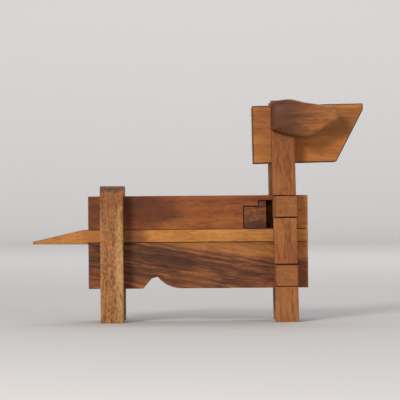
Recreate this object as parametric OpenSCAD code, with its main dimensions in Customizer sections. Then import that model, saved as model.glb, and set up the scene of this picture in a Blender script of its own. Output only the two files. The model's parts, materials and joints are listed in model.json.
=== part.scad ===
// Interlocking wooden dachshund: a take-apart puzzle of square sticks and notched boards.
// The dog stands on its four feet at z = 0, faces +X, and its right side is towards -Y.
// The origin is on the ground, in the middle of the whole dog's length and width.

/* [Stick] */
// Side of the square stick that the legs and ties are cut from
stick = 12; // [10:0.5:15]
// Gap left between faces that slide on each other
slide_gap = 0.15; // [0.1:0.05:0.3]

/* [Body boards] */
// Length of both boards
body_l = 115; // [94:0.5:140]
// Thickness of both boards, from side to side
body_t = 24; // [20:0.5:29]
// Height of the underside above the ground
belly_z = 17.5; // [15:0.5:21]
// Height of the lower board
lower_h = 24; // [20:0.5:29]
// Height of the slot between the boards
slot_h = 7; // [5:0.5:9]
// Height of the upper board
upper_h = 17.5; // [16.5:0.5:21]

/* [Belly cut] */
// Distance from the rear of the boards to the cut
cut_from_rear = 28.7; // [24:0.5:34]
// Length of the cut along the underside
cut_l = 23; // [16:0.5:27]
// Depth of the cut at its highest point
cut_d = 6.2; // [4:0.2:8]
// Distance from the rear of the cut to its highest point
cut_peak = 7.4; // [4:0.2:9]

/* [Tail] */
// How far the tail reaches behind the boards
tail_l = 29.6; // [24:0.5:36]
// Part of the tail that keeps the full height of the slat
tail_straight = 3.4; // [1:0.2:8]
// Width of the tail at its tip
tail_tip_w = 4; // [2:0.5:8]
// Height of the tail at its tip
tail_tip_h = 1.4; // [0.6:0.2:3]
// How far the tail hangs below the slat, which stops the key at the boards
tail_drop = 0.7; // [0.3:0.1:1.5]

/* [Front legs] */
// Length of the front legs, which run up beside the head
front_leg_h = 115; // [112:0.5:138]
// How far the front legs, neck and head lean back, in degrees
front_lean = 1; // [0:0.2:1.4]
// Height above the ground at which the lean starts
lean_z = 9; // [0:1:16]
// Distance from the front of the boards to the front legs
front_inset = 5.5; // [4:0.5:8]
// Depth of the notch in the outer face that takes the head of a tie
head_d = 6; // [4:0.5:7]
// Width of the shank of a tie, between its heads
shank_w = 5; // [4:0.5:6]
// Height of the chest tie above the underside of the boards
chest_lift = 0.8; // [0:0.2:3]
// Gap between the tips of the two tongues that meet in the window
tongue_gap = 1.3; // [0.6:0.1:3]

/* [Window and lock bar] */
// Side of the square lock bar
bar = 11.5; // [9:0.5:12]
// Gap between the lock bar and the rear end and roof of the window
bar_gap = 0.5; // [0.3:0.1:1.2]
// Gap between the wing of the lock bar and what it slides past
lock_gap = 0.2; // [0.15:0.05:0.4]
// Space beside the lock bar, up to the front legs
bar_side = 3.3; // [2.5:0.1:5]
// How far the wing reaches past the middle plane to the right side
wing_lap = 3; // [2:0.5:4]
// Length of the raised rib along the front edge of the lock bar
rib_w = 4; // [2:0.5:6]
// Depth of the rib below the face of the boards on the right side
rib_in = 1; // [0:0.2:3]
// Height of the high part of the window, where the tongues enter
tongue_room = 15; // [14:0.5:15.5]
// Wood left between the window and the notch for the shoulder tie
window_wall = 3.25; // [2.5:0.25:4]

/* [Head] */
// Length of the head along its top
head_l = 58.2; // [50:0.1:65]
// Height of the head
head_h = 30.3; // [26:0.1:33]
// Height of the chin above the boards
neck_h = 16.6; // [14:0.1:20]
// How far the head reaches behind the front legs
head_behind = 9.6; // [7:0.1:12]
// How far the slanted nose leans back at the chin
snout_slope = 14.6; // [8:0.2:20]
// Height of the blunt edge at the top of the snout
snout_blunt = 3.4; // [2:0.2:6]
// How far the neck block stands out behind the front legs
neck_proud = 1.4; // [0:0.2:3]
// Diameter of the round tenon on the neck block
neck_tenon_d = 8; // [6:0.5:9]
// Length of the round tenon on the neck block
neck_tenon_l = 14; // [10:0.5:20]

/* [Ears] */
// Length of an ear
ear_l = 35; // [28:0.5:40]
// Thickness of an ear at its middle
ear_t = 6.2; // [5:0.2:8]
// Radius of the domed face of an ear
ear_dome = 52; // [45:1:70]
// Height of the rear edge of an ear
ear_rear_h = 14.6; // [12:0.2:18]
// How far the top of an ear falls towards its tip
ear_fall = 3.6; // [2:0.2:5]

/* [Rear legs] */
// Height of the rear legs
rear_leg_h = 71.3; // [68:0.1:84]
// Distance from the rear of the boards to the rear legs
rear_inset = 6.6; // [5:0.2:9]
// Radius of the rounded outer top edge of a rear leg
rear_round = 5.5; // [3:0.5:8]
// Diameter of the round tenons on the rear tie
rear_tenon_d = 8; // [6:0.5:9]
// Length of the round tenons on the rear tie
rear_tenon_l = 8; // [6:0.5:9]
// Radial clearance of a glued tenon in its hole
glue_gap = 0.05; // [0.02:0.01:0.1]

/* [Hidden] */

$fn = 96;
cut = 1; // how far a cutting block runs past an open face
weld = 0.01; // how far two parts of one piece run into each other

// Heights, from the ground up
slot_z = belly_z + lower_h;
upper_z = slot_z + slot_h;
back_z = upper_z + upper_h;
chin_z = back_z + neck_h;
chest_z = belly_z + chest_lift;
shoulder_z = back_z - stick;

// Places along X: the dog is centred between the tail tip and the tip of the leaning snout
snout_z = chin_z + head_h - snout_blunt;
snout_reach = (head_l - head_behind) * cos(front_lean) - (snout_z - lean_z) * sin(front_lean)
    - stick - front_inset;
rear_x = (tail_l - body_l - snout_reach) / 2;
front_x = rear_x + body_l;
leg_x = front_x - front_inset - stick;
head_x = leg_x - head_behind;
shank_x = leg_x + stick - shank_w;
rear_leg_x = rear_x + rear_inset;
window_x1 = shank_x - window_wall;
stop_x = leg_x - (upper_z + tongue_room - lean_z) * tan(front_lean);
bar_x = stop_x - bar_side - bar;
rib_x = bar_x + bar - rib_w;

// Places along Y, measured from the middle plane
side_y = body_t / 2;
leg_y = side_y + slide_gap;
outer_y = leg_y + stick;

// A block between two corners
module block(low, high) {
    translate(low) cube(high - low);
}

// A shape drawn for the dog's left side, used on its right side
module right_side() {
    mirror([0, 1, 0]) children();
}

// Leans a piece back about the line behind the front feet
module leaned() {
    translate([leg_x, 0, lean_z]) rotate([0, -front_lean, 0]) translate([-leg_x, 0, -lean_z]) children();
}

// The cut under the belly: a steep rear end, then a long hollow curve towards the front
module belly_cut() {
    steps = 8;
    fall = 3; // power of the hollow curve
    shoulder = [cut_peak * 0.6, cut_d * 0.85]; // where the steep end turns over
    curve = [for (i = [0:steps]) let (t = i / steps)
        [cut_peak + t * (cut_l - cut_peak), cut_d * pow(1 - t, fall)]];
    outline = concat([[0, 0], shoulder], curve, [[cut_l, -cut], [0, -cut]]);
    translate([rear_x + cut_from_rear, side_y + cut, belly_z])
        rotate([90, 0, 0]) linear_extrude(body_t + 2 * cut) polygon(outline);
}

// Upper board: the window is open at the slot and higher at the front, the shoulder tie drops in above
module body_upper() color("#8a4a22") difference() {
    block([rear_x, -side_y, upper_z], [front_x, side_y, back_z]);
    block([bar_x - bar_gap, -side_y - cut, upper_z - cut],
          [window_x1, side_y + cut, upper_z + bar + bar_gap]);
    block([rib_x - lock_gap, -side_y - cut, upper_z - cut],
          [window_x1, side_y + cut, upper_z + tongue_room]);
    block([shank_x - slide_gap, -side_y - cut, shoulder_z],
          [shank_x + shank_w + slide_gap, side_y + cut, back_z + cut]);
}

// Lower board: the rear tie lies in its top edge, the chest tie in its bottom edge
module body_lower() color("#5f361d") difference() {
    block([rear_x, -side_y, belly_z], [front_x, side_y, slot_z]);
    belly_cut();
    block([rear_leg_x - slide_gap, -side_y - cut, slot_z - stick],
          [rear_leg_x + stick + slide_gap, side_y + cut, slot_z + cut]);
    block([shank_x - slide_gap, -side_y - cut, belly_z - cut],
          [shank_x + shank_w + slide_gap, side_y + cut, chest_z + stick]);
}

// Tail key: a slat that fills the slot, stops at the boards and runs out into a pointed tail
module tail_key() color("#c98f4a") {
    tip_x = rear_x - tail_l;
    taper_x = rear_x - tail_straight;
    stop = rear_x - slide_gap;
    low = slot_z + slide_gap;
    high = upper_z - slide_gap;
    under = low - tail_drop;
    intersection() {
        translate([0, side_y, 0]) rotate([90, 0, 0]) linear_extrude(body_t)
            polygon([[tip_x, under], [stop, under], [stop, low], [front_x, low],
                     [front_x, high], [taper_x, high], [tip_x, under + tail_tip_h]]);
        translate([0, 0, under - cut]) linear_extrude(slot_h + tail_drop + 2 * cut)
            polygon([[tip_x, -tail_tip_w / 2], [taper_x, -side_y], [front_x, -side_y],
                     [front_x, side_y], [taper_x, side_y], [tip_x, tail_tip_w / 2]]);
    }
}

// Lock bar: square at its right end, then filling the window, with a wing that stops the tongues
module lock_bar() color("#7b5138") {
    fill = bar_gap - lock_gap;
    top = upper_z + tongue_room - lock_gap;
    block([bar_x, -side_y, upper_z], [bar_x + bar, side_y, upper_z + bar]);
    block([bar_x - fill, -wing_lap, upper_z], [bar_x + bar, side_y, upper_z + bar + fill]);
    block([rib_x, -side_y + rib_in, upper_z + bar - weld], [bar_x + bar, side_y, top]);
    block([bar_x + bar - weld, -wing_lap, upper_z], [stop_x - lock_gap, side_y, top]);
}

// The notch that takes one end of a tie: the head in the outer face, the shank in the front edge
module tie_notch(z) {
    block([leg_x - stick / 2, outer_y - head_d, z], [leg_x + 2 * stick, outer_y + cut, z + stick]);
    block([shank_x - slide_gap, leg_y - cut, z], [leg_x + 2 * stick, outer_y, z + stick]);
}

// A front leg on the left side: one stick from the foot to the top of the neck, with its tongue
module front_leg() color("#a5632c") {
    difference() {
        leaned() block([leg_x, leg_y, -cut], [leg_x + stick, outer_y, front_leg_h]);
        block([leg_x - stick, leg_y - cut, -2 * cut], [leg_x + 2 * stick, outer_y + cut, 0]);
        tie_notch(shoulder_z);
        tie_notch(chest_z);
    }
    block([stop_x, tongue_gap / 2, shoulder_z],
          [window_x1 - lock_gap, leg_y + weld, upper_z + tongue_room - lock_gap]);
}

module front_leg_left() front_leg();

module front_leg_right() right_side() front_leg();

// A tie: a square stick as long as the dog is wide, cut away behind to leave two heads and a shank
module tie(z) color("#c07a3d") {
    block([shank_x, -outer_y, z], [leg_x + stick, outer_y, z + stick]);
    for (side = [0, 1]) mirror([0, side, 0])
        block([leg_x, outer_y - head_d, z], [shank_x + weld, outer_y, z + stick]);
}

module shoulder_tie() tie(shoulder_z);

module chest_tie() tie(chest_z);

// Head: a board with a slanted snout, bored from below for the neck tenon
module head() color("#bd7430") leaned() difference() {
    top = chin_z + head_h;
    nose_x = head_x + head_l;
    translate([0, side_y, 0]) rotate([90, 0, 0]) linear_extrude(body_t)
        polygon([[head_x, chin_z], [nose_x - snout_slope, chin_z], [nose_x, top - snout_blunt],
                 [nose_x, top], [head_x, top]]);
    translate([leg_x + stick / 2, 0, chin_z - cut])
        cylinder(d = neck_tenon_d + 2 * glue_gap, h = neck_tenon_l + 2 * cut);
}

// Neck block: stands on the back between the front legs, glued into the head
module neck_block() color("#8f5526") difference() {
    leaned() {
        block([leg_x - neck_proud, -side_y, back_z - cut], [leg_x + stick, side_y, chin_z]);
        translate([leg_x + stick / 2, 0, chin_z - weld])
            cylinder(d = neck_tenon_d, h = neck_tenon_l + weld);
    }
    block([leg_x - stick, -side_y - cut, back_z - 3 * cut], [leg_x + 2 * stick, side_y + cut, back_z]);
}

// The outline of an ear, seen from the side, from the top rear corner
module ear_outline() {
    corner_r = 1.4;
    crown_r = 3;
    tip_r = 4;
    lobe_r = 5;
    crown = 0.4; // height of the crown above the rear corner
    crown_x = ear_l * 0.22;
    lobe_drop = 5.2; // how far the lobe hangs below the rear edge
    lobe_x = ear_l * 0.54;
    lobe_z = lobe_r - ear_rear_h - lobe_drop;
    hull() {
        translate([corner_r, -corner_r]) circle(r = corner_r, $fn = 32);
        translate([crown_x, crown - crown_r]) circle(r = crown_r, $fn = 32);
        translate([corner_r, corner_r - ear_rear_h]) circle(r = corner_r, $fn = 32);
        translate([ear_l - tip_r, -ear_fall - tip_r]) circle(r = tip_r, $fn = 32);
        translate([lobe_x, lobe_z]) circle(r = lobe_r, $fn = 32);
    }
}

// An ear on the left side: a plate with a domed face, glued on the top of the front leg
module ear() color("#7d4526") leaned() intersection() {
    translate([leg_x, outer_y + ear_t, front_leg_h])
        rotate([90, 0, 0]) linear_extrude(ear_t) ear_outline();
    translate([leg_x + ear_l / 2, outer_y + ear_t - ear_dome, front_leg_h - ear_rear_h / 2 - 1])
        sphere(r = ear_dome);
}

module ear_left() ear();

module ear_right() right_side() ear();

// A rear leg on the left side: rounded over at the top of its outer face, bored for the tie's tenon
module rear_leg() color("#b5793a") difference() {
    translate([rear_leg_x + stick, 0, 0]) rotate([90, 0, -90]) linear_extrude(stick)
        union() {
            translate([-outer_y, 0]) square([stick, rear_leg_h - rear_round]);
            translate([-outer_y + rear_round, 0]) square([stick - rear_round, rear_leg_h]);
            translate([-outer_y + rear_round, rear_leg_h - rear_round]) circle(r = rear_round);
        }
    translate([rear_leg_x + stick / 2, leg_y - cut, slot_z - stick / 2]) rotate([-90, 0, 0])
        cylinder(d = rear_tenon_d + 2 * glue_gap, h = rear_tenon_l + 2 * cut);
}

module rear_leg_left() rear_leg();

module rear_leg_right() right_side() rear_leg();

// Rear tie: lies in the lower board under the tail key, with a round tenon into each rear leg
module rear_tie() color("#a86c35") {
    mid = [rear_leg_x + stick / 2, 0, slot_z - stick / 2];
    block([rear_leg_x, -leg_y, slot_z - stick], [rear_leg_x + stick, leg_y, slot_z]);
    translate(mid) rotate([90, 0, 0])
        cylinder(d = rear_tenon_d, h = 2 * (leg_y + rear_tenon_l), center = true);
}

body_upper();
body_lower();
tail_key();
lock_bar();
front_leg_right();
front_leg_left();
shoulder_tie();
chest_tie();
head();
neck_block();
ear_right();
ear_left();
rear_leg_right();
rear_leg_left();
rear_tie();
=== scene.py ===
import json
import math
import random

import bpy
import bmesh
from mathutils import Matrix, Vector, noise


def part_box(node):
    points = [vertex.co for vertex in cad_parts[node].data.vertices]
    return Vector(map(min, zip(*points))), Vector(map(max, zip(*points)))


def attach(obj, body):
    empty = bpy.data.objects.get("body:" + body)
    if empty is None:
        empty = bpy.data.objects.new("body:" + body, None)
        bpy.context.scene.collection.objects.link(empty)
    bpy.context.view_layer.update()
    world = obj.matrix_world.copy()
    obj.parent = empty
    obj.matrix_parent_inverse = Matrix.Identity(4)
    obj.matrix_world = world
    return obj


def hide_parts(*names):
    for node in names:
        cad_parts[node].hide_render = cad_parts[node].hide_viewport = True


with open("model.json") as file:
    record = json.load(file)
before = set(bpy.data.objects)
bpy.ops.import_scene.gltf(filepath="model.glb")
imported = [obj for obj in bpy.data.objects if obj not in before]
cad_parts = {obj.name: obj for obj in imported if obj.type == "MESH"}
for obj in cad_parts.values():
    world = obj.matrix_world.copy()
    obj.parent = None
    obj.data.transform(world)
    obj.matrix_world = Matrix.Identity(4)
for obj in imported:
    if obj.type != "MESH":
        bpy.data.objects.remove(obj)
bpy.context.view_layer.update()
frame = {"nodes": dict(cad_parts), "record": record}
mm = 0.001
print("frame loaded:", len(frame["nodes"]), "pieces of wood")


def linearColour(hexValue):
    channels = [int(hexValue[i:i + 2], 16) / 255 for i in (1, 3, 5)]
    linear = [c / 12.92 if c <= 0.04045 else ((c + 0.055) / 1.055) ** 2.4 for c in channels]
    return (*linear, 1.0)


def addNode(tree, kind, settings=None, links=None):
    # settings that name an input set its value, the others set the node's own properties
    made = tree.nodes.new(kind)
    for key, value in (settings or {}).items():
        if isinstance(key, int) or key in made.inputs:
            made.inputs[key].default_value = value
        else:
            setattr(made, key, value)
    for key, socket in (links or {}).items():
        tree.links.new(socket, made.inputs[key])
    return made


def setStops(ramp, stops):
    # stops are (position, colour) pairs, from left to right
    elements = ramp.color_ramp.elements
    while len(elements) < len(stops):
        elements.new(1.0)
    for element, (place, colour) in zip(elements, stops):
        element.position = place
        element.color = colour


cameraLook = {
    "lens": 242.8,           # mm on a 36 mm sensor: a long lens, so the sides hardly show
    "distance": 1.4,         # m from the outer face of the near legs
    "height": 63.7 * mm,
    "aside": 58.65 * mm,     # from the rear end of the boards
    "roll": 0.45,            # degrees: the dog stands a touch higher at the front
}


def placeCamera(look):
    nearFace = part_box("front_leg_right")[0].y
    data = bpy.data.cameras.new("camera")
    data.lens = look["lens"]
    data.clip_end = 50
    camera = bpy.data.objects.new("camera", data)
    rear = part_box("body_lower")[0].x
    camera.location = (rear + look["aside"], nearFace - look["distance"], look["height"])
    camera.rotation_euler = (math.radians(90), math.radians(look["roll"]), 0)
    bpy.context.scene.collection.objects.link(camera)
    bpy.context.scene.camera = camera


placeCamera(cameraLook)
print("camera placed")


# Rain tree and its like, planed, sanded and oiled. The eye sees warm brown bands that follow the
# growth rings, fine darker fibres, short open pores and a low satin shine that the pores break up.
woodBase = {
    "grain": "x",            # the way the fibres run
    "tilt": 1.5,             # degrees that the grain strays from the piece's length
    "pith": (0, 22, 30),     # mm from the piece's middle to the heart of the tree
    "ringWidth": 5.0,        # mm from one broad growth band to the next
    "warp": 3.0,             # mm that the rings wander
    "wander": (42, 13, 13),  # mm along and across the grain that one bend of the rings takes
    "light": "#b07548",
    "mid": "#935b36",
    "dark": "#6b3f25",
    "bands": 0.9,            # how far the rings reach from light to dark
    "cloud": 0.9,            # slow change of tone along the grain
    "cloudSize": (30, 9, 9),    # mm
    "heart": 0.0,            # share of near-black heartwood lines
    "heartColour": "#3a2013",
    "fibreLength": 16,       # mm
    "fibreWidth": 0.55,      # mm: real fibres are finer, this is the finest that shows
    "fibre": 0.3,
    "poreLength": 3.2,       # mm
    "poreWidth": 0.34,       # mm
    "pores": 0.45,
    "roughness": 0.5,
    "fleck": 0.25,           # short cross-lit flecks that the plane leaves in interlocked grain
    "fleckLength": 3.5,      # mm
    "fleckWidth": 1.1,       # mm
    "gold": 0.25,            # share of the yellower wood between the rings
    "goldColour": "#c08c48",
    "goldSize": (18, 4, 4),  # mm
    "edge": 0.45,            # how dark the eased edges are made: darker wood there, with painted shade on top
    "patches": (),           # places where the colour changes: the wood's own stains, painted shade and painted light
    "seed": 1,
}


# a place where the colour changes, at mm from the piece's middle: used for the wood's own stains and for
# painted shade and painted light
patchBase = {
    "slope": 0,              # degrees
    "cover": 0.8,            # how much of the wood's own colour it hides
    "torn": 0.9,             # how far the rings tear its edge
    "frayed": 0.5,           # how far the fibres do
    "soft": 0.3,             # half the width of its edge, in shares of its size
    "grained": 0.38,         # how much of the grain shows in it
}
oilTint = (0.86, 0.75, 0.55)    # oil deepens every wood and takes out its blue


def oiledColour(hexValue, shade=1.0):
    return (*[c * t * shade for c, t in zip(linearColour(hexValue), oilTint)], 1.0)


def perMm(sizes):
    # how much of each pattern lies in a millimetre
    return tuple(1 / size for size in sizes)


def oiledWood(name, middle, ownLook):
    look = {**woodBase, **ownLook}
    rng = random.Random(look["seed"])
    material = bpy.data.materials.new(name)
    material.use_nodes = True
    tree = material.node_tree
    tree.nodes.clear()
    place = addNode(tree, "ShaderNodeTexCoord").outputs["Object"]

    # millimetres from the heart of the tree, with the fibres along X
    turn = {"x": (0, 0, 0), "y": (0, 0, -90), "z": (0, 90, 0)}[look["grain"]]
    fromMiddle = addNode(tree, "ShaderNodeMapping", {
        "Location": tuple(-c / mm for c in middle), "Scale": (1 / mm,) * 3}, {"Vector": place})
    along = addNode(tree, "ShaderNodeMapping", {
        "Rotation": tuple(math.radians(t) for t in turn)}, {"Vector": fromMiddle.outputs[0]})
    tilted = addNode(tree, "ShaderNodeMapping", {
        "Location": (rng.uniform(-200, 200), look["pith"][1], look["pith"][2]),
        "Rotation": (0, math.radians(look["tilt"]), math.radians(look["tilt"] * 0.6))},
        {"Vector": along.outputs[0]})
    wood = tilted.outputs[0]

    # the rings wander slowly along the grain and faster across it
    slow = addNode(tree, "ShaderNodeMapping", {"Scale": perMm(look["wander"])}, {"Vector": wood})
    wander = addNode(tree, "ShaderNodeTexNoise", {"Scale": 1.0, "Detail": 3.0, "Roughness": 0.55},
                     {"Vector": slow.outputs[0]})
    centred = addNode(tree, "ShaderNodeVectorMath", {"operation": "SUBTRACT", 1: (0.5, 0.5, 0.5)},
                      {0: wander.outputs["Color"]})
    warped = addNode(tree, "ShaderNodeVectorMath", {"operation": "MULTIPLY_ADD",
                     1: (0, 2 * look["warp"], 2 * look["warp"])}, {0: centred.outputs[0], 2: wood})
    across = addNode(tree, "ShaderNodeVectorMath", {"operation": "MULTIPLY", 1: (0.0, 1.0, 1.0)},
                     {0: warped.outputs[0]})
    radius = addNode(tree, "ShaderNodeVectorMath", {"operation": "LENGTH"}, {0: across.outputs[0]})

    ring = addNode(tree, "ShaderNodeMath", {"operation": "DIVIDE", 1: look["ringWidth"]},
                   {0: radius.outputs["Value"]})
    broad = addNode(tree, "ShaderNodeTexNoise", {
        "noise_dimensions": "1D", "Scale": 1.0, "Detail": 4.0, "Roughness": 0.6}, {"W": ring.outputs[0]})
    fibreMap = addNode(tree, "ShaderNodeMapping", {
        "Scale": perMm((look["fibreLength"], look["fibreWidth"], look["fibreWidth"]))},
        {"Vector": warped.outputs[0]})
    fibre = addNode(tree, "ShaderNodeTexNoise", {"Scale": 0.5, "Detail": 3.0, "Roughness": 0.6},
                    {"Vector": fibreMap.outputs[0]})
    cloudMap = addNode(tree, "ShaderNodeMapping", {"Scale": perMm(look["cloudSize"])}, {"Vector": wood})
    cloud = addNode(tree, "ShaderNodeTexNoise", {"Scale": 1.0, "Detail": 2.0},
                    {"Vector": cloudMap.outputs[0]})
    fleckMap = addNode(tree, "ShaderNodeMapping", {
        "Scale": perMm((look["fleckLength"], look["fleckWidth"], look["fleckWidth"]))}, {"Vector": wood})
    fleck = addNode(tree, "ShaderNodeTexNoise", {"Scale": 1.0, "Detail": 2.0},
                    {"Vector": fleckMap.outputs[0]})

    # one tone from 0 to 1, where 0.5 is the wood's middle colour: each pattern adds to it or takes away
    bandTone = addNode(tree, "ShaderNodeMath", {"operation": "MULTIPLY_ADD", 1: 1.5 * look["bands"],
                       2: 0.5 - 0.75 * look["bands"]}, {0: broad.outputs["Fac"]})
    fibreTone = addNode(tree, "ShaderNodeMath", {"operation": "MULTIPLY_ADD", 1: 2 * look["fibre"],
                        2: -look["fibre"]}, {0: fibre.outputs["Fac"]})
    cloudTone = addNode(tree, "ShaderNodeMath", {"operation": "MULTIPLY_ADD", 1: look["cloud"],
                        2: -0.5 * look["cloud"] - look["fleck"]}, {0: cloud.outputs["Fac"]})
    fineTone = addNode(tree, "ShaderNodeMath", {"operation": "MULTIPLY_ADD", 1: 2 * look["fleck"]},
                       {0: fleck.outputs["Fac"], 2: fibreTone.outputs[0]})
    summed = addNode(tree, "ShaderNodeMath", {"operation": "ADD"},
                     {0: bandTone.outputs[0], 1: fineTone.outputs[0]})
    tone = addNode(tree, "ShaderNodeMath", {"operation": "ADD", "use_clamp": True},
                   {0: summed.outputs[0], 1: cloudTone.outputs[0]})
    ramp = addNode(tree, "ShaderNodeValToRGB", {}, {"Fac": tone.outputs[0]})
    setStops(ramp, [(0.15, oiledColour(look["dark"])), (0.5, oiledColour(look["mid"])),
                    (0.85, oiledColour(look["light"]))])

    # yellower wood in short streaks, moved off the other patterns so that they don't line up
    goldMap = addNode(tree, "ShaderNodeMapping", {
        "Location": (40, 9, 5), "Scale": perMm(look["goldSize"])}, {"Vector": warped.outputs[0]})
    goldNoise = addNode(tree, "ShaderNodeTexNoise", {"Scale": 1.0, "Detail": 3.0},
                        {"Vector": goldMap.outputs[0]})
    gold = addNode(tree, "ShaderNodeMapRange", {
        "From Min": 0.42, "From Max": 0.7, "To Max": look["gold"] * 2, "interpolation_type": "SMOOTHSTEP"},
        {"Value": goldNoise.outputs["Fac"]})
    colour = addNode(tree, "ShaderNodeMixRGB", {"Color2": oiledColour(look["goldColour"])},
                     {"Fac": gold.outputs[0], "Color1": ramp.outputs["Color"]}).outputs[0]

    if look["heart"] > 0:
        # dark heartwood lines follow the rings
        lineRing = addNode(tree, "ShaderNodeMath", {"operation": "DIVIDE", 1: look["ringWidth"] * 1.3},
                           {0: radius.outputs["Value"]})
        line = addNode(tree, "ShaderNodeTexNoise", {
            "noise_dimensions": "1D", "Scale": 1.0, "Detail": 5.0, "Roughness": 0.7},
            {"W": lineRing.outputs[0]})
        start = 0.62 - 0.16 * look["heart"]
        heart = addNode(tree, "ShaderNodeMapRange", {
            "From Min": start, "From Max": start + 0.14, "To Max": 0.9, "interpolation_type": "SMOOTHSTEP"},
            {"Value": line.outputs["Fac"]})
        colour = addNode(tree, "ShaderNodeMixRGB", {"Color2": oiledColour(look["heartColour"])},
                         {"Fac": heart.outputs[0], "Color1": colour}).outputs[0]

    for changes in look["patches"]:
        # a soft-edged cloud of another colour, torn by the rings and the fibres at its edge
        patch = {**patchBase, **changes}
        cloudSpace = addNode(tree, "ShaderNodeMapping", {
            "vector_type": "TEXTURE", "Location": patch["at"], "Scale": patch["size"],
            "Rotation": (0, math.radians(patch["slope"]), 0)}, {"Vector": fromMiddle.outputs[0]})
        off = addNode(tree, "ShaderNodeVectorMath", {"operation": "LENGTH"}, {0: cloudSpace.outputs[0]})
        tornByRings = addNode(tree, "ShaderNodeMath", {"operation": "MULTIPLY_ADD", 1: patch["torn"]},
                              {0: broad.outputs["Fac"], 2: off.outputs["Value"]})
        torn = addNode(tree, "ShaderNodeMath", {"operation": "MULTIPLY_ADD", 1: patch["frayed"]},
                       {0: fibre.outputs["Fac"], 2: tornByRings.outputs[0]})
        rim = 1.0 + 0.5 * patch["torn"] + 0.5 * patch["frayed"]
        cover = addNode(tree, "ShaderNodeMapRange", {
            "From Min": rim - patch["soft"], "From Max": rim + patch["soft"],
            "To Min": patch["cover"], "To Max": 0.0, "interpolation_type": "SMOOTHSTEP"},
            {"Value": torn.outputs[0]})
        grained = addNode(tree, "ShaderNodeMixRGB", {
            "Color1": oiledColour(patch["colour"], 1 - patch["grained"]),
            "Color2": oiledColour(patch["colour"], 1 + patch["grained"])}, {"Fac": tone.outputs[0]})
        colour = addNode(tree, "ShaderNodeMixRGB", {}, {
            "Fac": cover.outputs[0], "Color1": colour, "Color2": grained.outputs[0]}).outputs[0]

    # open pores: short dark dashes along the grain
    poreMap = addNode(tree, "ShaderNodeMapping", {
        "Scale": perMm((look["poreLength"], look["poreWidth"], look["poreWidth"]))},
        {"Vector": warped.outputs[0]})
    pore = addNode(tree, "ShaderNodeTexNoise", {"Scale": 0.5, "Detail": 1.0},
                   {"Vector": poreMap.outputs[0]})
    dash = addNode(tree, "ShaderNodeMapRange", {"From Min": 0.58, "From Max": 0.72, "To Max": 1.0},
                   {"Value": pore.outputs["Fac"]})
    dashShare = addNode(tree, "ShaderNodeMath", {"operation": "MULTIPLY", 1: look["pores"]},
                        {0: dash.outputs[0]})
    colour = addNode(tree, "ShaderNodeMixRGB", {"Color2": oiledColour(look["heartColour"])},
                     {"Fac": dashShare.outputs[0], "Color1": colour}).outputs[0]

    # the eased edges are darkened: partly darker wood along the rims, partly painted shade
    edge = addNode(tree, "ShaderNodeAttribute", {"attribute_name": "edge"})
    edgeShare = addNode(tree, "ShaderNodeMath", {"operation": "MULTIPLY", 1: look["edge"]},
                        {0: edge.outputs["Fac"]})
    colour = addNode(tree, "ShaderNodeMixRGB", {"Color2": oiledColour(look["heartColour"])},
                     {"Fac": edgeShare.outputs[0], "Color1": colour}).outputs[0]

    shine = addNode(tree, "ShaderNodeMath", {"operation": "MULTIPLY_ADD", 1: 0.22,
                    2: look["roughness"] - 0.11}, {0: fibre.outputs["Fac"]})
    height = addNode(tree, "ShaderNodeMath", {"operation": "MULTIPLY_ADD", 1: -0.7},
                     {0: dash.outputs[0], 2: fibre.outputs["Fac"]})
    bump = addNode(tree, "ShaderNodeBump", {"Strength": 0.35, "Distance": 0.12 * mm},
                   {"Height": height.outputs[0]})
    shader = addNode(tree, "ShaderNodeBsdfPrincipled", {"IOR": 1.5, "Specular IOR Level": 0.22},
                     {"Base Color": colour, "Roughness": shine.outputs[0], "Normal": bump.outputs[0]})
    addNode(tree, "ShaderNodeOutputMaterial", {}, {"Surface": shader.outputs[0]})
    return material


sanding = {
    "weld": 0.002,           # mm between corners that are one corner
    "grid": 5.0,             # mm between the cuts that let a face wander
    "snap": 0.2,             # mm from a corner within which a cut goes through it
    "corner": 28,            # degrees at which an edge is sharp enough to be eased
    "steps": 4,              # faces across an eased edge
    "round": 9,              # degrees between those faces, at the least
    "wander": 0.07,          # mm that a sanded face strays from flat
    "wanderOver": 14,        # mm from one rise to the next
    "wear": 0.16,            # mm more that an edge loses here and there
    "wearOver": 4,           # mm from one worn place to the next
    "rimFace": 3,            # mm2: smaller faces belong to an eased edge, where the edge darkening and painted shade go
    "tieEnds": 15,           # mm from the middle plane, beyond which the ties are trimmed
}


def sagRoof(shape, low, high, sag):
    # the far edge of the window's roof hangs a little, so that no light comes through
    for vert in shape.verts:
        if vert.co.y > 0 and low.z + 8 * mm < vert.co.z < high.z - 1 * mm:
            vert.co.z -= sag * mm


def leanEnd(shape, low, high, lean):
    # the near end of the bar leans back, more towards its top
    for vert in shape.verts:
        if vert.co.y < low.y + 1 * mm and vert.co.x < low.x + 2 * mm:
            vert.co.x -= lean * mm * (vert.co.z - low.z) / (high.z - low.z)


def trimEnds(shape, low, high, trim):
    # the ends of a stick, outside the boards, are a little thinner than the rest
    under, over = [t * mm for t in trim]
    for vert in shape.verts:
        if abs(vert.co.y) > sanding["tieEnds"] * mm:
            share = (vert.co.z - low.z) / (high.z - low.z)
            vert.co.z += under * (1 - share) - over * share


def cutGrid(shape, low, high):
    for axis in range(3):
        count = int((high[axis] - low[axis]) / (sanding["grid"] * mm))
        for i in range(1, count):
            point = low.copy()
            point[axis] = low[axis] + (high[axis] - low[axis]) * i / count
            normal = Vector([float(axis == k) for k in range(3)])
            bmesh.ops.bisect_plane(shape, geom=shape.verts[:] + shape.edges[:] + shape.faces[:],
                                   dist=sanding["snap"] * mm, plane_co=point, plane_no=normal)


def easeEdges(shape, ease):
    edges = [e for e in shape.edges if len(e.link_faces) == 2 and e.is_convex
             and e.calc_face_angle() > math.radians(sanding["corner"])]
    bmesh.ops.bevel(shape, geom=edges, offset=ease * mm, segments=sanding["steps"], profile=0.5,
                    affect="EDGES", clamp_overlap=True)
    shape.normal_update()


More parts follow.
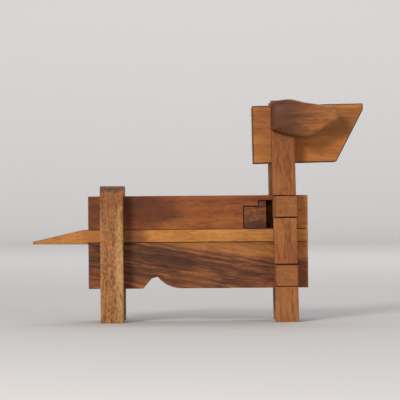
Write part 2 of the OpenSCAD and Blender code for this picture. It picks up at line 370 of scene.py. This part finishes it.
def wearDown(shape, seed):
    start = Vector((seed * 7.3, seed * 3.1, seed * 1.7))
    moves = []
    for vert in shape.verts:
        turns = [e.calc_face_angle(0) for e in vert.link_edges if len(e.link_faces) == 2]
        onEdge = max(turns, default=0) > math.radians(sanding["round"])
        slow = noise.noise(vert.co / (sanding["wanderOver"] * mm) + start)
        fast = noise.noise(vert.co / (sanding["wearOver"] * mm) + start)
        depth = -abs(slow) * sanding["wander"]
        if onEdge:
            depth -= max(0.0, fast) * sanding["wear"]
        moves.append(vert.normal * depth * mm)
    for vert, move in zip(shape.verts, moves):
        vert.co += move


def easedPiece(node, look):
    # a copy of the sawn shape, with its outer edges rounded over and its faces a little uneven
    low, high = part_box(node)
    shape = bmesh.new()
    shape.from_mesh(frame["nodes"][node].data)
    bmesh.ops.remove_doubles(shape, verts=shape.verts, dist=sanding["weld"] * mm)
    bmesh.ops.dissolve_limit(shape, angle_limit=math.radians(1), verts=shape.verts, edges=shape.edges)
    if "sag" in look:
        sagRoof(shape, low, high, look["sag"])
    if "lean" in look:
        leanEnd(shape, low, high, look["lean"])
    cutGrid(shape, low, high)
    if "trim" in look:
        trimEnds(shape, low, high, look["trim"])
    easeEdges(shape, look["ease"])
    rimFace = sanding["rimFace"] * mm * mm
    onRim = [max(face.calc_area() for face in vert.link_faces) < rimFace for vert in shape.verts]
    wearDown(shape, look["seed"])
    mesh = bpy.data.meshes.new(look["name"])
    shape.to_mesh(mesh)
    shape.free()
    edge = mesh.attributes.new("edge", "FLOAT", "POINT")
    edge.data.foreach_set("value", [float(r) for r in onRim])
    return finishPiece(mesh, node, look)


def finishPiece(mesh, node, look):
    low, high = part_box(node)
    for face in mesh.polygons:
        face.use_smooth = True
    piece = bpy.data.objects.new(look["name"], mesh)
    bpy.context.scene.collection.objects.link(piece)
    even = piece.modifiers.new("even shading", "WEIGHTED_NORMAL")
    even.keep_sharp = True
    ownWood = {**look["wood"], "seed": look["seed"]}
    mesh.materials.append(oiledWood(look["finish"], (low + high) / 2, ownWood))
    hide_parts(node)
    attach(piece, bodyOf[node])
    return piece


bodies = frame["record"]["behaviour"]["bodies"]
bodyOf = {node: body for body, nodes in bodies.items() for node in nodes}

# The back: reddish heartwood; darker towards the rear, where shade is painted, and painted lighter at the
# front end
bodyUpper = {
    "name": "backBoard", "finish": "rain tree, planed and oiled, red heartwood", "ease": 0.6, "seed": 3,
    "sag": 0.28,             # mm
    "wood": {"light": "#a05c2f", "mid": "#854a25", "dark": "#63361a", "pith": (0, 30, 60), "ringWidth": 6.0,
             "warp": 3.5, "bands": 0.6, "gold": 0.1, "fleck": 0.3,
             "patches": [
                 # painted shadow of the rear leg, right of the leg, over a darker streak in the wood
                 {"at": (-29, -12, 1), "size": (17, 22, 9), "colour": "#582c15", "cover": 0.8, "soft": 0.4},
                 # painted shade at the rear end, behind the rear leg
                 {"at": (-58, -12, 0), "size": (9, 30, 12), "colour": "#633822", "cover": 0.75, "soft": 0.4},
                 # painted light at the front end, lifting the front leg's cast shadow
                 {"at": (58, -12, 0), "size": (8, 30, 12), "colour": "#ca8148", "cover": 0.95,
                  "torn": 0.3}]},
}
# The belly: near-black streaks in brown heartwood, with a golden strip of sapwood at the top front
bodyLower = {
    "name": "bellyBoard", "finish": "rain tree, planed and oiled, streaked heartwood", "ease": 0.6,
    "seed": 5,
    "wood": {"light": "#975e41", "mid": "#683e2c", "dark": "#3d2217", "pith": (0, 20, -60), "ringWidth": 2.1,
             "warp": 3.2, "tilt": -9, "bands": 0.75, "heart": 0.3, "gold": 0.08, "fleck": 0.45,
             "fleckLength": 7, "fibre": 0.6,
             "patches": [
                 {"at": (26, -12, 8), "size": (38, 20, 3), "colour": "#a26e3e", "cover": 0.9,
                  "torn": 1.0, "slope": 6, "soft": 0.35},
                 # painted light at the front end, lifting the front leg's cast shadow; golden above and
                 # darker below, as the wood is
                 {"at": (57, -12, 8), "size": (9, 20, 6), "colour": "#bd7c48", "cover": 0.85, "torn": 0.5},
                 {"at": (57, -12, -7), "size": (9, 20, 8), "colour": "#7f5033", "cover": 0.8, "torn": 0.5},
                 {"at": (18, -12, -4), "size": (11, 20, 6), "colour": "#54301f", "cover": 0.5, "soft": 0.5},
                 {"at": (-1, -12, -7), "size": (10, 20, 5), "colour": "#95603f", "cover": 0.5, "soft": 0.5},
                 {"at": (-32, -12, -5), "size": (8, 20, 6), "colour": "#54321c", "cover": 0.5, "soft": 0.5},
                 {"at": (-54, -12, -6), "size": (5, 20, 6), "colour": "#8f5738", "cover": 0.5, "soft": 0.5},
                 # a dark band of streaked wood, darkened further as painted shadow of the rear leg
                 {"at": (-20, -12, 4), "size": (28, 20, 4.5), "colour": "#412317", "cover": 0.8, "torn": 0.8,
                  "slope": 9, "soft": 0.5}]},
}
# The tail slat: pale straight-grained wood that fills the slot
tailKey = {
    "name": "tailSlat", "finish": "pale hardwood, planed and oiled", "ease": 0.4, "seed": 7,
    "wood": {"light": "#cc9356", "mid": "#bc8248", "dark": "#9d6634", "pith": (0, 60, 90), "ringWidth": 3.5,
             "warp": 1.5, "bands": 0.5, "pores": 0.3, "fibre": 0.25, "fleck": 0.4,
             "gold": 0.2, "goldColour": "#cd9e59",
             "patches": [{"at": (-66, -12, 0), "size": (12, 30, 9), "colour": "#af7f4c", "cover": 0.8},
                         {"at": (-40, -12, 0), "size": (9, 30, 8), "colour": "#ac733e", "cover": 0.7,
                          "torn": 0.4, "soft": 0.5},
                         # painted shadow of the rear leg, over a dark stain in the slat
                         {"at": (-20, -12, 0), "size": (7.5, 30, 9), "colour": "#744321", "cover": 0.8,
                          "torn": 0.3, "soft": 0.5}]},
}
# The lock bar shows its end: darker, with the rings as arcs, and darkest low down. The top of its raised
# step is painted near black: painted shade
lockBar = {
    "name": "lockBlock", "finish": "rain tree, cross cut and oiled, dark heartwood", "ease": 0.4, "seed": 9,
    "lean": 0.28,            # mm that the near end leans back, so that the gap behind it closes upwards
    "wood": {"grain": "y", "light": "#865939", "mid": "#6e4428", "dark": "#4f2f1b", "pith": (0, 4, 30),
             "ringWidth": 2.4, "warp": 2.0, "bands": 0.6, "pores": 0.4, "fleck": 0.6, "gold": 0.1,
             "edge": 0.1,
             "patches": [{"at": (0, -12, -6), "size": (12, 9, 2.6), "colour": "#4c2d27", "cover": 0.85},
                         # painted shade: the top of the raised step is dark for the shade inside the window
                         {"at": (2, -12, 9), "size": (12, 30, 3.2), "colour": "#5e2209", "cover": 1.0,
                          "torn": 0.1, "soft": 0.2}]},
}
# The front legs: plain mid brown with fine dark fibres, so the eye reads them as one straight stick
frontLegRight = {
    "name": "frontLegNear", "finish": "rain tree, sawn and sanded, mid brown", "ease": 0.6, "seed": 11,
    "wood": {"grain": "z", "light": "#a36a45", "mid": "#8d5635", "dark": "#724427", "pith": (0, 24, 40),
             "ringWidth": 2.2, "warp": 1.8, "bands": 0.4, "cloud": 0.6, "pores": 0.55,
             "fleck": 0.5, "gold": 0.12,
             "patches": [
                 {"at": (0, -6, 34), "size": (14, 14, 17), "colour": "#83502c", "cover": 0.85, "torn": 0.4},
                 {"at": (0, -6, -48), "size": (14, 14, 12), "colour": "#97653f", "cover": 0.9,
                  "torn": 0.4}]},
}
frontLegLeft = {**frontLegRight, "name": "frontLegFar", "seed": 13}
# The crosswise sticks show their sawn ends, sanded until they are smooth, with a gap above and below
shoulderTie = {
    "name": "shoulderStick", "finish": "rain tree, cross cut and sanded smooth", "ease": 0.6, "seed": 15,
    "trim": (0.4, 0.3),      # mm taken off the underside and the top
    "wood": {"grain": "y", "light": "#9d6943", "mid": "#8d5a37", "dark": "#794a2c", "pith": (0, 0, 70),
             "ringWidth": 2.4, "warp": 1.2, "bands": 0.5, "pores": 0.3, "fleck": 0.45, "gold": 0.08},
}
chestTie = {**shoulderTie, "name": "chestStick", "seed": 17, "trim": (0.15, 0.5)}
# The head: the lightest board, golden and calm, with only faint bands, and some painted shade and light
headBlock = {
    "name": "headBlock", "finish": "golden hardwood, planed and oiled", "ease": 0.9, "seed": 19,
    "wood": {"light": "#b77d48", "mid": "#a36b3c", "dark": "#865533", "pith": (0, 30, 70), "ringWidth": 5.0,
             "warp": 3.0, "bands": 0.3, "cloud": 0.5, "pores": 0.3, "gold": 0.3, "tilt": 0.5,
             # edge is set high: heavy painted shade along all the head's eased edges
             "fleck": 0.35, "edge": 0.9,
             "patches": [
                 # painted shade of the ear, right of its tip, over darker streaky wood
                 {"at": (20, -12, 4), "size": (9, 24, 9), "colour": "#926039", "cover": 0.8, "soft": 0.4},
                 # painted light on the lower head, lifting the cast shadow of the ear and the front leg
                 {"at": (6, -12, -8), "size": (17, 24, 7.5), "colour": "#ae6e3b", "cover": 0.8,
                  "soft": 0.4}]},
}
# The neck: darker and plainer, so it falls back behind the head and the ear; the dark is partly painted
# shade of the recess it sits in
neckBlock = {
    "name": "neckBlock", "finish": "rain tree, sawn, brown", "ease": 0.4, "seed": 21,
    "wood": {"grain": "z", "light": "#784727", "mid": "#683a1d", "dark": "#522b14", "pith": (0, 30, 30)},
}
# The rear legs: speckled, with a thin line of sapwood at one edge, a pale line with a painted highlight at
# the other, and a darker sanded top
rearLegRight = {
    "name": "rearLegNear", "finish": "rain tree, sawn and sanded, speckled", "ease": 1.1, "seed": 23,
    "wood": {"grain": "z", "light": "#b78863", "mid": "#946645", "dark": "#69422b", "pith": (0, 20, 30),
             "ringWidth": 3.0, "warp": 1.8, "bands": 0.4, "cloud": 0.5, "pores": 0.5, "fleck": 0.7,
             "fleckLength": 1.6, "gold": 0.16,
             "patches": [
                 {"at": (3.9, -6, -8), "size": (2.0, 6, 31), "colour": "#bf9d70", "cover": 0.65, "torn": 0.5,
                  "soft": 0.4},
                 # a narrow light line on the left edge: paler wood with a painted highlight on the rounded
                 # edge
                 {"at": (-5.6, -6, -4), "size": (0.8, 6, 30), "colour": "#b98c66", "cover": 0.5,
                  "torn": 0.5},
                 {"at": (0, -6, 32), "size": (9, 9, 8), "colour": "#875437", "cover": 0.75, "torn": 0.5},
                 {"at": (0, -6, 37), "size": (12, 12, 4), "colour": "#50433b", "cover": 0.8, "torn": 0.3}]},
}
# the far rear leg: the near leg's wood in darker colours, painted shade for the side away from the light
rearLegLeft = {**rearLegRight, "name": "rearLegFar", "seed": 25,
               "wood": {**rearLegRight["wood"], "light": "#9a6a44", "mid": "#7c4f30", "dark": "#57341f",
                        "patches": ()}}
# The rear stick hardly shows: plain brown, its rings seen from the end
rearTie = {
    "name": "rearStick", "finish": "rain tree, sawn and sanded, plain brown", "ease": 0.5, "seed": 27,
    "wood": {"grain": "y", "light": "#a0683f", "mid": "#8a5431", "dark": "#6d3f22"},
}

sawnPieces = {
    "body_upper": bodyUpper, "body_lower": bodyLower, "tail_key": tailKey, "lock_bar": lockBar,
    "front_leg_right": frontLegRight, "front_leg_left": frontLegLeft, "shoulder_tie": shoulderTie,
    "chest_tie": chestTie, "head": headBlock, "neck_block": neckBlock,
    "rear_leg_right": rearLegRight, "rear_leg_left": rearLegLeft, "rear_tie": rearTie,
}
for node, look in sawnPieces.items():
    easedPiece(node, look)
print("sticks and boards sanded:", len(sawnPieces))


# The ears: warm brown domes whose root turns near black where they meet the head
ear = {
    "name": "earNear", "finish": "rain tree, shaped and sanded, dark root", "seed": 31,
    "rim": 2.6,              # mm of straight edge at the glued back
    "heart": (0.44, 0.45),   # the dome's top, in shares of the ear's length and height
    "oval": (0.46, 0.42),    # the outline that the dome's rings turn into
    "rings": 14,
    "wear": 0.25,            # mm that the sanding takes at the most
    "wearOver": 6,           # mm from one worn place to the next
    "wood": {"light": "#b3784b", "mid": "#99643d", "dark": "#7d4d33", "pith": (0, 18, 40), "ringWidth": 4.0,
             "warp": 2.0, "bands": 0.4, "pores": 0.35, "fleck": 0.35, "gold": 0.15,
             "patches": [{"at": (-15, 0, -1), "size": (16, 20, 17), "colour": "#513025", "cover": 0.9,
                          "torn": 0.7, "soft": 0.55}]},
}
# points along the outline, in shares of the ear's length and height from its top rear corner
earOutline = [(0.0, 0.16), (0.03, 0.06), (0.17, 0.01), (0.3, 0.0), (0.5, 0.075), (0.75, 0.145),
              (0.945, 0.185), (1.0, 0.29), (1.0, 0.47), (0.96, 0.58), (0.84, 0.71), (0.69, 0.875),
              (0.61, 0.965), (0.53, 1.0), (0.4, 0.97), (0.22, 0.91), (0.06, 0.82), (0.0, 0.74)]


def smoothOutline(points, steps):
    # a closed Catmull-Rom curve through the points
    curve = []
    count = len(points)
    for i in range(count):
        before, start, end, after = [Vector(points[(i + k) % count]) for k in (-1, 0, 1, 2)]
        for k in range(steps):
            t = k / steps
            curve.append(0.5 * (2 * start + (end - before) * t
                                + (2 * before - 5 * start + 4 * end - after) * t * t
                                + (3 * start - before - 3 * end + after) * t ** 3))
    return curve


def carvedEar(node, look, outward):
    low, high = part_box(node)
    length, depth, tall = high - low
    backY, faceY = (high.y, low.y) if outward < 0 else (low.y, high.y)
    outline = smoothOutline(earOutline, 5)
    heart = Vector(look["heart"])
    rim = look["rim"] * mm / depth
    rings = [(1.0, 0.0), (1.0, rim)]
    for k in range(1, look["rings"] + 1):
        # a dome with a full shoulder: it rises fast at the rim and is nearly flat at the top
        scale = math.cos(k / look["rings"] * math.pi / 2) ** 0.75
        rings.append((scale, rim + (1 - rim) * (1 - scale ** 4) ** (1 / 2.2)))
    shape = bmesh.new()
    layers = []
    for scale, rise in rings[:-1]:
        layer = []
        for point in outline:
            # the rings grow rounder towards the top of the dome, so no corner runs up it
            away = point - heart
            turn = math.atan2(away.y, away.x)
            oval = Vector((look["oval"][0] * math.cos(turn), look["oval"][1] * math.sin(turn)))
            at = heart + away.lerp(oval, min(1.0, (1 - scale) * 2.2)) * scale
            layer.append(shape.verts.new((low.x + at.x * length, backY + (faceY - backY) * rise,
                                          high.z - at.y * tall)))
        layers.append(layer)
    count = len(outline)
    for inner, outer in zip(layers[1:], layers):
        for i in range(count):
            j = (i + 1) % count
            shape.faces.new((outer[i], outer[j], inner[j], inner[i]))
    top = shape.verts.new((low.x + heart.x * length, faceY, high.z - heart.y * tall))
    for i in range(count):
        shape.faces.new((layers[-1][i], layers[-1][(i + 1) % count], top))
    shape.faces.new(list(reversed(layers[0])))
    bmesh.ops.recalc_face_normals(shape, faces=shape.faces)
    for vert in shape.verts:
        if abs(vert.co.y - backY) > 0.5 * mm:
            worn = abs(noise.noise(vert.co / (look["wearOver"] * mm))) * look["wear"] * mm
            vert.co -= vert.normal * worn
    mesh = bpy.data.meshes.new(look["name"])
    shape.to_mesh(mesh)
    shape.free()
    piece = finishPiece(mesh, node, look)
    mesh.set_sharp_from_angle(angle=math.radians(60))
    return piece


carvedEar("ear_right", ear, -1)
carvedEar("ear_left", {**ear, "name": "earFar", "seed": 33}, 1)
print("ears carved")


studio = {
    "floor": 2.6,            # m from the dog to where the sweep starts to rise
    "bend": 0.9,             # m radius of the sweep
    "bendSteps": 12,
    "around": 64,            # sides of the round sweep
    "skyColour": "#f1f2f4",
    "skyStrength": 0.5,
    # m from the dog and the paper's shade there: a little darker under the lamps, so it looks even
    "shades": [(0.2, "#c5c2c1"), (0.9, "#c5c2c1"), (2.0, "#cbc8c7"), (2.6, "#ccc9c8"), (2.8, "#d5d2d1"),
               (3.36, "#e1dedd")],
}


def paperSweep(look):
    # matt seamless paper, flat under the dog and rising all round, so the eye finds no horizon
    material = bpy.data.materials.new("matt seamless paper")
    material.use_nodes = True
    tree = material.node_tree
    shader = tree.nodes["Principled BSDF"]
    shader.inputs["Roughness"].default_value = 0.9
    spot = addNode(tree, "ShaderNodeTexCoord").outputs["Object"]
    away = addNode(tree, "ShaderNodeVectorMath", {"operation": "LENGTH"}, {0: spot})
    reach = look["shades"][-1][0]
    share = addNode(tree, "ShaderNodeMath", {"operation": "DIVIDE", 1: reach}, {0: away.outputs["Value"]})
    ramp = addNode(tree, "ShaderNodeValToRGB", {}, {"Fac": share.outputs[0]})
    setStops(ramp, [(place / reach, linearColour(shade)) for place, shade in look["shades"]])
    tree.links.new(ramp.outputs["Color"], shader.inputs["Base Color"])
    profile = [(0.0, 0.0), (look["floor"], 0.0)]
    for i in range(1, look["bendSteps"] + 1):
        a = math.radians(90 * i / look["bendSteps"])
        profile.append((look["floor"] + look["bend"] * math.sin(a), look["bend"] * (1 - math.cos(a))))
    sweep = bmesh.new()
    around = look["around"]
    centre = sweep.verts.new((0, 0, 0))
    turns = [2 * math.pi * k / around for k in range(around)]
    loops = []
    for r, z in profile[1:]:
        loops.append([sweep.verts.new((r * math.cos(turn), r * math.sin(turn), z)) for turn in turns])
    for k in range(around):
        n = (k + 1) % around
        sweep.faces.new((centre, loops[0][k], loops[0][n]))
        for inner, outer in zip(loops, loops[1:]):
            sweep.faces.new((inner[k], outer[k], outer[n], inner[n]))
    mesh = bpy.data.meshes.new("paperSweep")
    sweep.to_mesh(mesh)
    sweep.free()
    mesh.materials.append(material)
    for face in mesh.polygons:
        face.use_smooth = True
    floor = bpy.data.objects.new("paperSweep", mesh)
    bpy.context.scene.collection.objects.link(floor)


lamps = {
    "keyLamp": {"at": (-0.58, -1.32, 0.66), "size": 0.36, "watts": 17.5, "tint": "#fffaf2"},
    "wallLamp": {"at": (0.0, 1.6, 2.4), "size": 1.6, "watts": 30, "tint": "#ffffff", "to": (0, 3.6, 0.2)},
    "fillLamp": {"at": (1.1, -1.3, 0.5), "size": 0.9, "watts": 7, "tint": "#f4f7ff"},
    "backLamp": {"at": (0.4, 1.3, 1.2), "size": 1.2, "watts": 6, "tint": "#ffffff"},
}


def hangLamps(lampSet, look):
    for name, lamp in lampSet.items():
        target = Vector(lamp.get("to", (0, 0, 50 * mm)))
        data = bpy.data.lights.new(name, "AREA")
        data.size = lamp["size"]
        data.energy = lamp["watts"]
        data.color = linearColour(lamp["tint"])[:3]
        light = bpy.data.objects.new(name, data)
        light.location = lamp["at"]
        light.rotation_euler = (target - Vector(lamp["at"])).to_track_quat("-Z", "Y").to_euler()
        bpy.context.scene.collection.objects.link(light)
    world = bpy.data.worlds.new("studio")
    world.use_nodes = True
    background = world.node_tree.nodes["Background"]
    background.inputs["Color"].default_value = linearColour(look["skyColour"])
    background.inputs["Strength"].default_value = look["skyStrength"]
    bpy.context.scene.world = world
    bpy.context.scene.view_settings.view_transform = "Standard"


paperSweep(studio)
hangLamps(lamps, studio)
print("studio lit")
